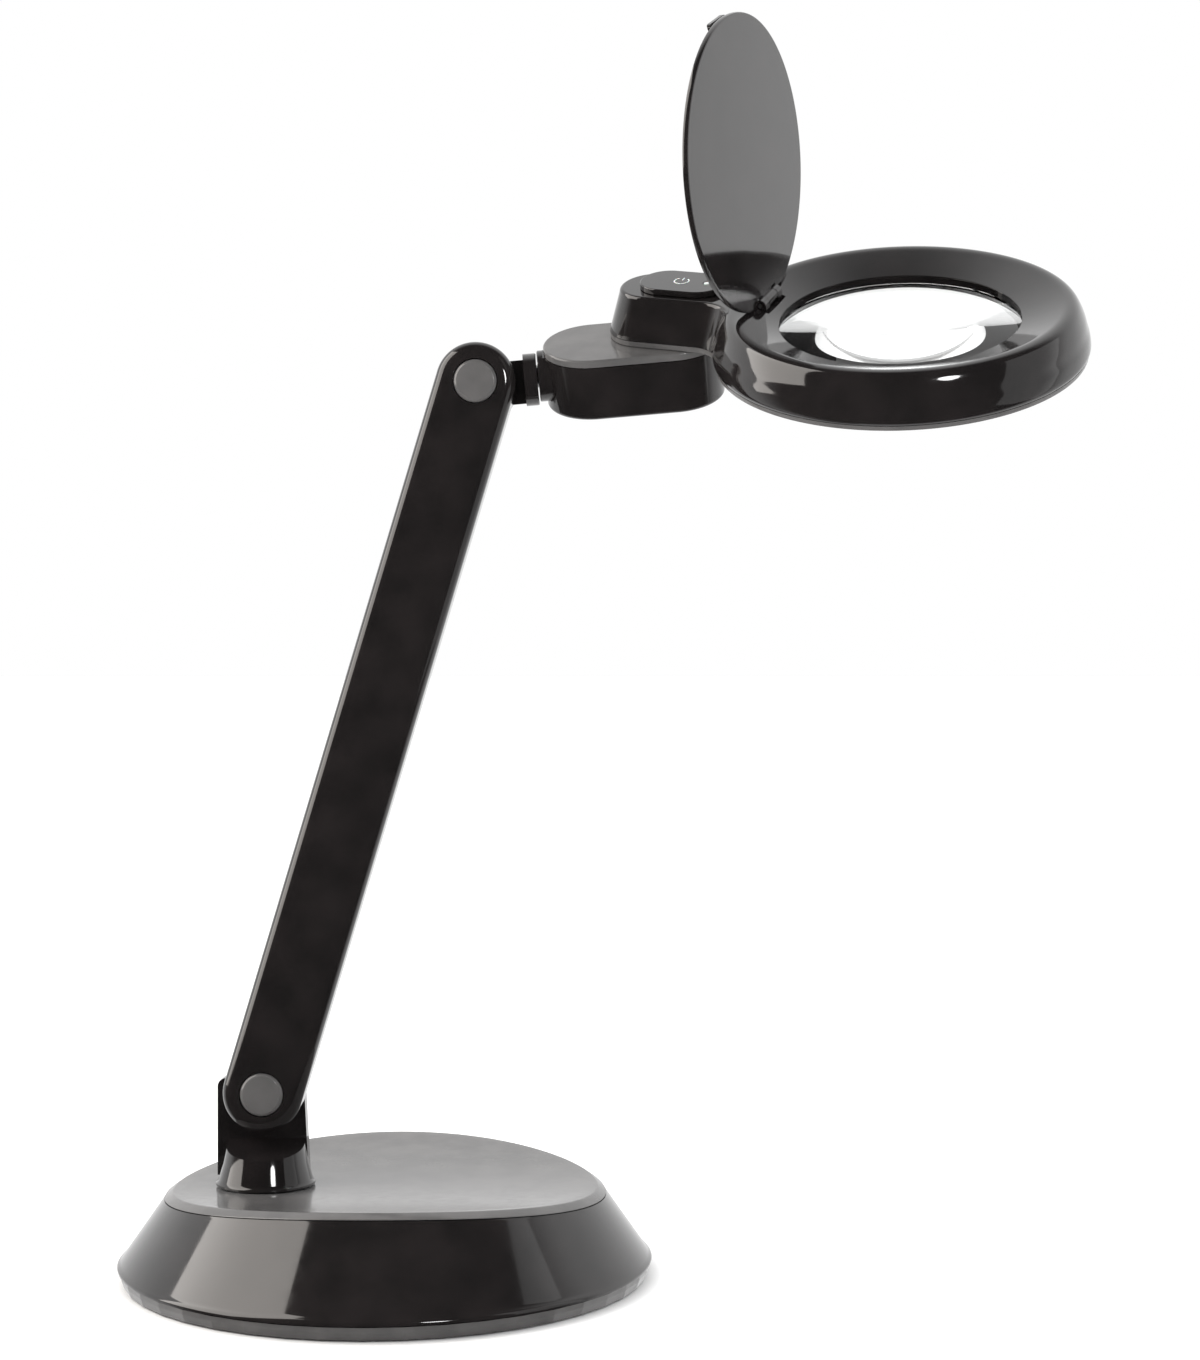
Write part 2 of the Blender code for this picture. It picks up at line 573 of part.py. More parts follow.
def make_lens_cover(axis, mats):
    """A thin disc with a knuckle on the pin, cut straight beside the hinge, and a turned-up finger tab."""
    disc = lathe([(0, 0.1), (LID_R - 0.6, 0.1), (LID_R, 0.7), (LID_R, 1.7), (LID_R - 0.6, LID_THICK + 0.1),
                  (0, LID_THICK + 0.1)], BIG, (LID_CENTRE, 0, 0))
    disc = add("lens_cover", disc, axis, mats["black"])
    trim = tool("hinge_trim", box((-10, 1.2), (-40, 40), (-5, 8)), axis)
    notch = tool("fork_notch", box((-10, KNUCKLE_R + 0.5), (-EAR_OUT - 0.4, EAR_OUT + 0.4), (-5, 8)), axis)
    knuckle = tool("lid_knuckle", along_y(rod(KNUCKLE_R - 0.1, -KNUCKLE_HALF, KNUCKLE_HALF, TINY)), axis)
    web = tool("lid_web", box((0, 3.6), (-KNUCKLE_HALF, KNUCKLE_HALF), (0.1, LID_THICK)), axis)
    tip = LID_CENTRE + LID_R
    tab_outline = [(tip - 9, LID_THICK - 0.6), (tip - 1.5, LID_THICK - 0.6), (tip - 0.5, LID_THICK + 2.6),
                   (tip - 2.4, LID_THICK + 3.0), (tip - 5, LID_THICK + 0.9), (tip - 9, LID_THICK)]
    tab = tool("finger_tab", upright(tab_outline, (-8, 8)), axis)
    combine(disc, "DIFFERENCE", trim, notch)
    combine(disc, "UNION", knuckle, web, tab)
    bore = along_y(rod(1.1, -20, 20, TINY))
    combine(disc, "DIFFERENCE", tool("lid_bore", bore, axis))


def main():
    start_clean()
    mats = {
        "black": material("black_gloss_plastic", (0.012, 0.011, 0.012), 0.12),
        "grey": material("grey_gloss_plastic", (0.10, 0.10, 0.105), 0.18),
        "steel": material("zinc_steel", (0.52, 0.52, 0.53), 0.32, 1.0),
        "brass": material("friction_washer", (0.55, 0.42, 0.20), 0.4, 1.0),
        "rubber": material("foot_rubber", (0.03, 0.03, 0.03), 0.85),
        "glass": material("lens_glass", (0.95, 0.97, 0.97), 0.02),
        "frosted": material("frosted_plastic", (0.86, 0.87, 0.86), 0.5),
        "board": material("white_board", (0.75, 0.77, 0.74), 0.5),
    }
    make_base(mats)
    post = pivot("post_axis", None, (POST_X, 0, 0), "Z", POST_YAW)
    make_post(post, mats)
    arm = pivot("arm_axis", post, (0, 0, PIVOT_Z), "Y", ARM_LEAN)
    lower_ear = pivot("lower_ear", post, (0, 0, PIVOT_Z))
    make_ear_side("lower", lower_ear, mats)
    make_arm(arm, mats)
    elbow = pivot("elbow_axis", arm, (0, 0, ARM_LENGTH), "Y", -LINK_PITCH - ARM_LEAN)
    make_elbow(elbow, mats)
    make_ear_side("upper", elbow, mats)
    link = pivot("twist_axis", elbow, (SEAM_X, 0, LINK_DROP), "X", LINK_TWIST)
    make_link(link, mats)
    head = pivot("swivel_axis", link, (SWIVEL_X, 0, 0), "Z", HEAD_SWIVEL)
    make_head(head, mats)
    lid = pivot("lid_axis", head, (HINGE_X, 0, HINGE_Z), "Y", -LID_OPEN)
    make_lens_cover(lid, mats)


main()
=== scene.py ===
"""A desk magnifying lamp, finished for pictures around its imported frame. Shapes are made in millimetres."""

import json
import math

import bmesh
import bpy
from mathutils import Matrix, Vector


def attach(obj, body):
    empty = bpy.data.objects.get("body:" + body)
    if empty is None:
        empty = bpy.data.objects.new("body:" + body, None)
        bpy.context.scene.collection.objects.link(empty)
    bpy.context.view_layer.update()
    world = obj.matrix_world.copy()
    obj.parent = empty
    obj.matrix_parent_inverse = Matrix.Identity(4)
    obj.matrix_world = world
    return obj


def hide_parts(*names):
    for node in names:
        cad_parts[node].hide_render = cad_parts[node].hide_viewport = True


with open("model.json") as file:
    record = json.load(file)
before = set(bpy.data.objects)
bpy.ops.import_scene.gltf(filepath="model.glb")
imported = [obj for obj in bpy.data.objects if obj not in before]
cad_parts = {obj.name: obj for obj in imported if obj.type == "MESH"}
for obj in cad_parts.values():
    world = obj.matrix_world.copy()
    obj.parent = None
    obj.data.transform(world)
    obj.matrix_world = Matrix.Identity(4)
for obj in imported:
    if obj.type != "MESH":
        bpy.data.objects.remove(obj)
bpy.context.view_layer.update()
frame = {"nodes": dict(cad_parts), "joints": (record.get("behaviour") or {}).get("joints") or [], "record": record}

MM = 0.001
GAP = 0.3
BITE = 0.2
FINE = 160
ROUND = 96
SMALL = 48

WIDEST_R, WIDEST_Z, SKIRT_SLOPE = 96.0, 5.1, 0.7
RIM_LOW_Z, TROUGH_RISE, TROUGH_HALF = 28.6, 6.4, 75.0
SKIRT_WALL, PLATE_RISE, PLATE_FALL_IN = 3.0, 2.7, 2.9
INLET_Z = 15.5
POST_FOOT_Z, SHELF_Z, SHELF_SLOPE = 32.0, 46.3, 0.247
EAR_Y, EAR_TOP_Z, PIVOT_Z = (4.8, 11.6), 69.2, 66.1
ARM_LENGTH, ARM_R = 265.8, 14.35
ARM_FRONT_Y, ARM_SPLIT_Y, ARM_REAR_Y = -12.3, -3.75, 4.3
CAP_R, CAP_FACE_Y, BOLT_R = 7.7, -12.95, 4.0
COLLAR_R, SEAM_X = 9.4, 22.4
LINK_START, LINK_LENGTH, LINK_R = 2.6, 64.4, 18.0
LINK_Z, LINK_COVER_Z, SWIVEL_X, SHAFT_R = (-11.6, 8.4), (8.7, 11.3), 48.6, 5.8
LENS_X, RING_R, CREST_R, APERTURE_R = 86.0, 64.2, 60.0, 41.4
SPLIT_Z, HEAD_LOW_Z, COVER_R = 13.4, 11.6, 64.1
TAIL_HALF, TAIL_END_X, TAIL_TOP_Z = (13.8, 12.6), (-8.5, -4.8), 30.0
TAIL_REACH, NECK_R = 58.5, 12.0
LENS_R, LENS_EDGE_Z, LENS_DOME = 43.6, (18.4, 21.4), 5.4
PAD_END_X, PAD_HALF, PAD_TOP_Z, DOT_X = (0.1, 12.3), 9.7, 32.3, 15.3
HINGE_X, HINGE_Z, LID_OPEN = 38.05, 28.47, 96.0
LID_R, LID_CENTRE, LID_THICK = 50.3, 48.45, 2.2
KNUCKLE_R, KNUCKLE_HALF, EAR_OUT = 2.3, 4.0, 8.0


# ---------------------------------------------------------------- places

joints = {joint["name"]: joint for joint in frame["joints"]}


def place_of(name):
    return Vector(joints[name]["pos_m"])


def axis_of(name):
    return Vector(joints[name]["axis"]).normalized()


def seat(origin, x, y, z):
    """Turns millimetres along three directions from an origin into metres in the row's frame."""
    turn = Matrix((x, y, z)).transposed().to_4x4()
    return Matrix.Translation(origin) @ turn @ Matrix.Scale(MM, 4)


RIGHT, BACK, UP = Vector((1, 0, 0)), Vector((0, 1, 0)), Vector((0, 0, 1))
arm_way = (place_of("elbow_tilt") - place_of("arm_tilt")).normalized()
link_way, head_way, lid_way = axis_of("link_twist"), axis_of("head_swivel"), axis_of("lens_cover_hinge")
BASE = seat(Vector(), RIGHT, BACK, UP)
POST = seat(place_of("post_swivel"), RIGHT, BACK, UP)
ARM = seat(place_of("arm_tilt"), BACK.cross(arm_way), BACK, arm_way)
LOWER_EAR = seat(place_of("arm_tilt"), RIGHT, BACK, UP)
ELBOW = seat(place_of("elbow_tilt"), link_way, BACK, link_way.cross(BACK))
LINK = seat(place_of("link_twist"), link_way, head_way.cross(link_way), head_way)
HEAD = seat(place_of("head_swivel"), lid_way.cross(head_way), lid_way, head_way)
LID = (seat(place_of("lens_cover_hinge"), lid_way.cross(head_way), lid_way, head_way)
       @ Matrix.Rotation(math.radians(-LID_OPEN), 4, "Y"))


# ---------------------------------------------------------------- finishes

def finish(name, low, high, rough, grain, bump, metallic=0.0, **settings):
    """Moulded or machined finish: colour and gloss wander between two values, with a fine surface bump."""
    mat = bpy.data.materials.new(name)
    mat.use_nodes = True
    tree = mat.node_tree
    shader = tree.nodes["Principled BSDF"]
    shader.inputs["Metallic"].default_value = metallic
    for socket, value in settings.items():
        shader.inputs[socket.replace("_", " ")].default_value = value
    coords = tree.nodes.new("ShaderNodeTexCoord")

    def noise(scale, detail):
        node = tree.nodes.new("ShaderNodeTexNoise")
        node.inputs["Scale"].default_value = scale
        node.inputs["Detail"].default_value = detail
        tree.links.new(coords.outputs["Object"], node.inputs["Vector"])
        return node.outputs["Fac"]

    cloud = noise(grain * 0.08, 3)
    tint = tree.nodes.new("ShaderNodeValToRGB")
    tint.color_ramp.elements[0].position = 0.35
    tint.color_ramp.elements[0].color = (*low, 1)
    tint.color_ramp.elements[1].position = 0.65
    tint.color_ramp.elements[1].color = (*high, 1)
    tree.links.new(cloud, tint.inputs["Fac"])
    tree.links.new(tint.outputs["Color"], shader.inputs["Base Color"])
    gloss = tree.nodes.new("ShaderNodeMapRange")
    gloss.inputs["From Min"].default_value = 0.3
    gloss.inputs["From Max"].default_value = 0.7
    gloss.inputs["To Min"].default_value = rough[0]
    gloss.inputs["To Max"].default_value = rough[1]
    tree.links.new(noise(grain * 0.3, 4), gloss.inputs["Value"])
    tree.links.new(gloss.outputs["Result"], shader.inputs["Roughness"])
    relief = tree.nodes.new("ShaderNodeBump")
    relief.inputs["Strength"].default_value = bump
    relief.inputs["Distance"].default_value = 0.0002
    tree.links.new(noise(grain, 2), relief.inputs["Height"])
    tree.links.new(relief.outputs["Normal"], shader.inputs["Normal"])
    return mat


FINISHES = {
    "black_gloss": finish("black_gloss", (0.010, 0.009, 0.009), (0.015, 0.013, 0.013), (0.055, 0.10),
                          900, 0.003, Coat_Weight=0.3),
    "grey_gloss": finish("grey_gloss", (0.090, 0.088, 0.088), (0.110, 0.107, 0.106), (0.13, 0.19), 1200, 0.01),
    "zinc_steel": finish("zinc_steel", (0.48, 0.48, 0.49), (0.58, 0.58, 0.57), (0.26, 0.40), 1500, 0.15, 1.0),
    "washer_brass": finish("washer_brass", (0.50, 0.38, 0.17), (0.60, 0.46, 0.22), (0.35, 0.5),
                           1500, 0.15, 1.0),
    "foot_rubber": finish("foot_rubber", (0.022, 0.022, 0.022), (0.036, 0.035, 0.034), (0.78, 0.92),
                          2500, 0.5),
    "lens_glass": finish("lens_glass", (0.97, 0.99, 0.985), (1.0, 1.0, 1.0), (0.0, 0.012), 300, 0.0,
                         Transmission_Weight=1.0, IOR=1.49),
    "frosted_plastic": finish("frosted_plastic", (0.82, 0.83, 0.82), (0.88, 0.88, 0.87), (0.42, 0.55),
                              2200, 0.2, Subsurface_Weight=0.15, Subsurface_Scale=0.002),
    "board_white": finish("board_white", (0.70, 0.73, 0.70), (0.78, 0.79, 0.76), (0.40, 0.55), 1800, 0.2),
}


# ---------------------------------------------------------------- shaping

def turned(profile, steps=ROUND, centre=(0, 0, 0)):
    """A shape on the lathe, from (radius, height) points about Z."""
    bm = bmesh.new()
    verts = [bm.verts.new((r, 0, z)) for r, z in profile]
    edges = [bm.edges.new(pair) for pair in zip(verts, verts[1:])]
    if profile[0][0] > 0:
        edges.append(bm.edges.new((verts[-1], verts[0])))
    bmesh.ops.spin(bm, geom=verts + edges, cent=(0, 0, 0), axis=(0, 0, 1), angle=2 * math.pi,
                   steps=steps, use_merge=True, use_duplicate=False)
    bmesh.ops.remove_doubles(bm, verts=bm.verts, dist=0.001)
    bmesh.ops.recalc_face_normals(bm, faces=bm.faces)
    bmesh.ops.translate(bm, vec=centre, verts=bm.verts)
    return bm


def rod(radius, low, high, steps=ROUND, centre=(0, 0, 0)):
    return turned([(0, low), (radius, low), (radius, high), (0, high)], steps, centre)


def raise_face(bm, height):
    """Pull a flat sheet up into a block."""
    raised = bmesh.ops.extrude_face_region(bm, geom=list(bm.faces))["geom"]
    verts = [item for item in raised if isinstance(item, bmesh.types.BMVert)]
    bmesh.ops.translate(bm, vec=(0, 0, height), verts=verts)
    bmesh.ops.recalc_face_normals(bm, faces=bm.faces)
    return bm


def slab(radius, start, end, low, high, steps=ROUND):
    """A block with round ends, between two centres on X."""
    bm = bmesh.new()
    bmesh.ops.create_circle(bm, cap_ends=True, segments=steps, radius=radius,
                            matrix=Matrix.Rotation(math.pi / steps, 4, "Z"))
    ahead = [v for v in bm.verts if v.co.x > 0]
    bmesh.ops.translate(bm, vec=(end - start, 0, 0), verts=ahead)
    bmesh.ops.translate(bm, vec=(start, 0, low), verts=bm.verts)
    return raise_face(bm, high - low)


def block(x, y, z):
    bm = bmesh.new()
    bmesh.ops.create_cube(bm, size=1)
    bmesh.ops.scale(bm, vec=(x[1] - x[0], y[1] - y[0], z[1] - z[0]), verts=bm.verts)
    bmesh.ops.translate(bm, vec=((x[0] + x[1]) / 2, (y[0] + y[1]) / 2, (z[0] + z[1]) / 2), verts=bm.verts)
    return bm


def end_face(bm, side):
    return max((f for f in bm.faces if f.normal.z * side > 0.9), key=lambda f: f.calc_area())


def ease(bm, side, width, segments=6):
    """Round the rim of the top (side 1) or bottom (side -1)."""
    bmesh.ops.bevel(bm, geom=list(end_face(bm, side).edges), offset=width, segments=segments, profile=0.5,
                    affect="EDGES", material=-1)
    return bm


def ease_along(bm, way, width, segments=6):
    """Round the edges that run along one direction."""
    edges = [e for e in bm.edges if abs((e.verts[1].co - e.verts[0].co).normalized().dot(way)) > 0.99]
    bmesh.ops.bevel(bm, geom=edges, offset=width, segments=segments, profile=0.5, affect="EDGES", material=-1)
    return bm


def hollow(bm, side, wall, depth):
    """Sink the inside of a flat end, which leaves a tray."""
    face = end_face(bm, side)
    bmesh.ops.inset_region(bm, faces=[face], thickness=wall, use_even_offset=True)
    sunk = bmesh.ops.extrude_face_region(bm, geom=[face])["geom"]
    verts = [item for item in sunk if isinstance(item, bmesh.types.BMVert)]
    bmesh.ops.translate(bm, vec=(0, 0, -side * depth), verts=verts)
    if face.is_valid:
        bmesh.ops.delete(bm, geom=[face], context="FACES_ONLY")
    return bm


def turn(bm, degrees, axis):
    bmesh.ops.rotate(bm, matrix=Matrix.Rotation(math.radians(degrees), 3, axis), verts=bm.verts)
    return bm


def along_x(bm):
    return turn(bm, 90, "Y")


def along_y(bm):
    return turn(bm, -90, "X")


def shift(bm, vec):
    bmesh.ops.translate(bm, vec=vec, verts=bm.verts)
    return bm


def join(bm, operation, *others):
    """Join or cut closed shapes for good, and give back the result."""
    objs = []
    for shape in (bm, *others):
        bmesh.ops.recalc_face_normals(shape, faces=shape.faces)
        mesh = bpy.data.meshes.new("blank")
        shape.to_mesh(mesh)
        shape.free()
        obj = bpy.data.objects.new("blank", mesh)
        bpy.context.scene.collection.objects.link(obj)
        objs.append(obj)
    for other in objs[1:]:
        cut = objs[0].modifiers.new("cut", "BOOLEAN")
        cut.operation, cut.solver, cut.object = operation, "EXACT", other
    bpy.context.view_layer.update()
    result = bmesh.new()
    result.from_object(objs[0], bpy.context.evaluated_depsgraph_get())
    for obj in objs:
        bpy.data.objects.remove(obj, do_unlink=True)
    return result


def piece(name, bm, where, body, finish_name, *nodes, crisp=32):
    """Put a shape on its body as a finished piece that stands for its CAD nodes."""
    bmesh.ops.remove_doubles(bm, verts=bm.verts, dist=0.0005)
    bmesh.ops.recalc_face_normals(bm, faces=bm.faces)
    bm.transform(where)
    mesh = bpy.data.meshes.new(name)
    bm.to_mesh(mesh)
    bm.free()
    mesh.shade_smooth()
    mesh.set_sharp_from_angle(angle=math.radians(crisp))
    mesh.materials.append(FINISHES[finish_name])
    obj = bpy.data.objects.new(name, mesh)
    bpy.context.scene.collection.objects.link(obj)
    obj.modifiers.new("even shading", "WEIGHTED_NORMAL").keep_sharp = True
    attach(obj, body)
    if nodes:
        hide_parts(*nodes)
    return obj


# ---------------------------------------------------------------- base

def cone_radius(z):
    return WIDEST_R - SKIRT_SLOPE * (z - WIDEST_Z)


def trough(y):
    return RIM_LOW_Z + TROUGH_RISE * (y / TROUGH_HALF) ** 2


def follow_trough(bm):
    """Make a turned shape's rim low at the sides and high at front and back, with its side on the cone."""
    for vert in bm.verts:
        if vert.co.z <= WIDEST_Z:
            continue
        angle = math.atan2(vert.co.y, vert.co.x)
        rim_r = cone_radius(RIM_LOW_Z)
        for _ in range(5):
            rim_r = cone_radius(trough(rim_r * math.sin(angle)))
        share = min(1.0, (vert.co.z - WIDEST_Z) / (RIM_LOW_Z - WIDEST_Z))
        above = max(0.0, vert.co.z - RIM_LOW_Z)
        rim_z = WIDEST_Z + share * (trough(rim_r * math.sin(angle)) - WIDEST_Z)
        scale = cone_radius(rim_z) / cone_radius(min(vert.co.z, RIM_LOW_Z))
        vert.co.x *= scale
        vert.co.y *= scale
        vert.co.z = WIDEST_Z + share * (trough(vert.co.y) - WIDEST_Z) + above
    return bm


def make_base():
    top_r = cone_radius(RIM_LOW_Z)
    skirt = follow_trough(turned(
        [(95.2, WIDEST_Z), (95.75, 5.25), (95.9, 5.6), (95.85, 6.1), (95.3, 6.7), (94.4, 7.4),
         (top_r + 0.3, 28.1), (top_r, RIM_LOW_Z), (top_r - SKIRT_WALL, RIM_LOW_Z), (91.2, 8.0),
         (91.2, WIDEST_Z)], FINE))
    bore = shift(along_y(rod(5.9, 70, 110)), (0, 0, INLET_Z))
    piece("skirt", join(skirt, "DIFFERENCE", bore), BASE, "base", "black_gloss", "base_skirt")
    low, high = RIM_LOW_Z + GAP, RIM_LOW_Z + PLATE_RISE
    outer = top_r - 0.2
    rings = [outer - PLATE_FALL_IN - 0.5, 72, 66, 60, 54, 48, 40, 32, 24, 16, 8]
    plate = turned([(0, low)] + [(r, low) for r in reversed(rings)] + [(outer, low), (outer - 0.15, low + 0.35)]
                   + [(outer - PLATE_FALL_IN + 0.2, high - 0.25)] + [(r, high) for r in rings] + [(0, high)], FINE)
    hole = rod(9.7, 20, 45, ROUND, (POST[0][3] / MM, 0, 0))
    piece("dished_plate", join(follow_trough(plate), "DIFFERENCE", hole), BASE, "base", "grey_gloss",
          "base_top_plate", crisp=40)


def make_post():
    foot = POST_FOOT_Z
    collar = turned([(0, 20), (9.2, 20), (9.2, foot), (17.7, foot), (17.9, foot + 0.3), (17.85, foot + 0.9),
                     (17.3, foot + 1.4), (16.9, foot + 2.2), (15.2, 40), (13.6, 48.4), (0, 48.4)])
    shelf = block((-25, 25), (-30, EAR_Y[0] + BITE), (0, 20))
    for vert in shelf.verts:
        vert.co.z += SHELF_Z + SHELF_SLOPE * vert.co.y
    ear = block((-18.2, 13.3), EAR_Y, (34, EAR_TOP_Z))
    top = [e for e in ear.edges if all(v.co.z > 60 for v in e.verts)
           and abs(e.verts[0].co.y - e.verts[1].co.y) > 1]
    bmesh.ops.bevel(ear, geom=top, offset=3.0, segments=8, profile=0.5, affect="EDGES", material=-1)
    for vert in ear.verts:
        if vert.co.x > 10 and vert.co.z < 40:
            vert.co.x += 1.6
    hole = shift(along_y(rod(BOLT_R + 0.4, 0, 20)), (0, 0, PIVOT_Z))
    bracket = join(join(join(collar, "DIFFERENCE", shelf), "UNION", ear), "DIFFERENCE", hole)
    piece("post_collar_and_ear", bracket, POST, "post", "black_gloss", "post_bracket")


def ear_cap(name, where, body):
    back = EAR_Y[1] + GAP
    cap = turned([(0, back + 4.1), (7.4, back + 4.1), (7.4, back), (9.2, back), (9.2, back + 3.4),
                  (8.9, back + 4.3), (8.2, back + 4.9), (6.0, back + 5.4), (0, back + 5.4)])
    piece(f"{name}_ear_cap", along_y(cap), where, body, "black_gloss", f"{name}_rear_cap")


# ---------------------------------------------------------------- arm

def upright_slab(front, rear, change):
    """A tall block with round ends, whose front is its top while it is shaped."""
    bm = change(slab(ARM_R, 0, ARM_LENGTH, -rear, -front, ROUND))
    turn(bm, 90, "X")
    turn(bm, -90, "Y")
    return bm


def crown(bm, steps):
    """Raise the middle of a top face a little, ring by ring, so that it isn't dead flat."""
    face = end_face(bm, 1)
    for width, rise in steps:
        bmesh.ops.inset_region(bm, faces=[face], thickness=width, depth=0, use_even_offset=True)
        bmesh.ops.translate(bm, vec=(0, 0, rise), verts=list(face.verts))
    return bm


def make_arm():
    middle = GAP / 2
    swell = ((1.2, 0.10), (1.6, 0.10), (1.8, 0.07), (2.0, 0.03))
    front = upright_slab(ARM_FRONT_Y, ARM_SPLIT_Y - middle,
                         lambda bm: crown(hollow(ease(bm, 1, 4.4, 10), -1, 2.0, 5.8), swell))
    rear = upright_slab(ARM_SPLIT_Y + middle, ARM_REAR_Y, lambda bm: hollow(ease(bm, -1, 2.2), 1, 2.0, 5.6))
    for height in (0.0, ARM_LENGTH):
        recess = shift(along_y(rod(CAP_R + GAP, -20, -9.5)), (0, 0, height))
        hole = shift(along_y(rod(BOLT_R + 0.4, -9.0, 20)), (0, 0, height))
        front = join(front, "DIFFERENCE", recess)
        rear = join(rear, "DIFFERENCE", hole)
    piece("arm_front", front, ARM, "arm", "black_gloss", "arm_front_shell")
    piece("arm_back", rear, ARM, "arm", "black_gloss", "arm_rear_shell")
    for name, height in (("lower", 0.0), ("upper", ARM_LENGTH)):
        face = CAP_FACE_Y
        cap = turned([(0, face), (CAP_R - 1.2, face), (CAP_R - 0.9, face + 0.05), (CAP_R - 0.2, face + 0.6),
                      (CAP_R, face + 0.9), (CAP_R, -10.1), (0, -10.1)])
        piece(f"{name}_pivot_disc", shift(along_y(cap), (0, 0, height)), ARM, "arm", "grey_gloss",
              f"{name}_pivot_cap")


# ---------------------------------------------------------------- elbow and link

def make_elbow():
    ear = along_y(turned([(0, EAR_Y[0]), (ARM_R, EAR_Y[0]), (ARM_R, EAR_Y[1] - 0.6), (ARM_R - 0.6, EAR_Y[1]),
                          (0, EAR_Y[1])]))
    end = SEAM_X - GAP
    collar = along_x(turned([(0, 2), (COLLAR_R, 2), (COLLAR_R, end - 0.3), (COLLAR_R - 0.3, end), (0, end)]))
    cut = block((-20, 17.4), (-20, EAR_Y[0] + BITE), (-20, 20))
    hole = along_y(rod(BOLT_R + 0.4, 0, 20))
    elbow = join(join(join(collar, "DIFFERENCE", cut), "UNION", ear), "DIFFERENCE", hole)
    piece("elbow_ear_and_collar", elbow, ELBOW, "elbow", "black_gloss", "elbow_bracket")


def make_link():
    start, end = LINK_START + LINK_R, LINK_START + LINK_LENGTH - LINK_R
    low, high = LINK_Z
    housing = hollow(ease(slab(LINK_R, start, end, low, high, FINE), -1, 1.6), 1, 2.2, high - low - 2.4)
    collar = along_x(turned([(0, 0.1), (COLLAR_R - 0.5, 0.1), (COLLAR_R - 0.2, 0.4), (COLLAR_R - 0.2, 5),
                             (0, 5)]))
    room = block((2.2, 8), (-12, 12), (high, 12))
    hole = along_x(rod(4.3, -2, 9))
    housing = join(join(join(housing, "UNION", collar), "DIFFERENCE", room), "DIFFERENCE", hole)
    piece("link_box", housing, LINK, "link", "black_gloss", "link_housing")
    low, high = LINK_COVER_Z
    cover = ease(slab(LINK_R, start, end, low, high, FINE), 1, 0.9)
    hole = rod(SHAFT_R + GAP, 5, 20, ROUND, (SWIVEL_X, 0, 0))
    piece("link_lid", join(cover, "DIFFERENCE", hole), LINK, "link", "grey_gloss", "link_top_cover")


# ---------------------------------------------------------------- head

def head_outline(half, end_x, ring_r):
    """The tail's round end and straight sides, which flare through two hollow arcs to meet the ring."""
    fillet_y = half + NECK_R
    fillet_x = LENS_X - math.sqrt((ring_r + NECK_R) ** 2 - fillet_y ** 2)
    sweep = math.atan2(LENS_X - fillet_x, fillet_y)
    side = [(fillet_x + NECK_R * math.sin(sweep * i / 15), -fillet_y + NECK_R * math.cos(sweep * i / 15))
            for i in range(16)]
    inside = LENS_X - math.sqrt((TAIL_REACH - 4) ** 2 - side[-1][1] ** 2)
    side.append((inside, side[-1][1]))
    end = [(end_x + half * math.cos(a), half * math.sin(a))
           for a in (math.pi * (0.5 + i / 40) for i in range(41))]
    return end + side + [(x, -y) for x, y in reversed(side)]


def plate_of(outline, low, high, upper=None):
    """A block on an outline, which may change point for point towards its top."""
    bm = bmesh.new()
    bm.faces.new([bm.verts.new((x, y, low)) for x, y in outline])
    raise_face(bm, high - low)
    for vert in bm.verts:
        if upper and vert.co.z > (low + high) / 2:
            vert.co.xy = upper[min(range(len(outline)), key=lambda i: math.dist(outline[i], vert.co.xy))]
    return bm


def swept(points, per=4):
    """A smooth line through points, for a moulded profile."""
    line = []
    for i in range(len(points) - 1):
        a, b = points[max(i - 1, 0)], points[i]
        c, d = points[i + 1], points[min(i + 2, len(points) - 1)]
        for k in range(per):
            t = k / per
            line.append(tuple(0.5 * (2 * b[n] + (c[n] - a[n]) * t + (2 * a[n] - 5 * b[n] + 4 * c[n] - d[n]) * t * t
                                     + (3 * b[n] - a[n] - 3 * c[n] + d[n]) * t ** 3) for n in (0, 1)))
    return line + [points[-1]]


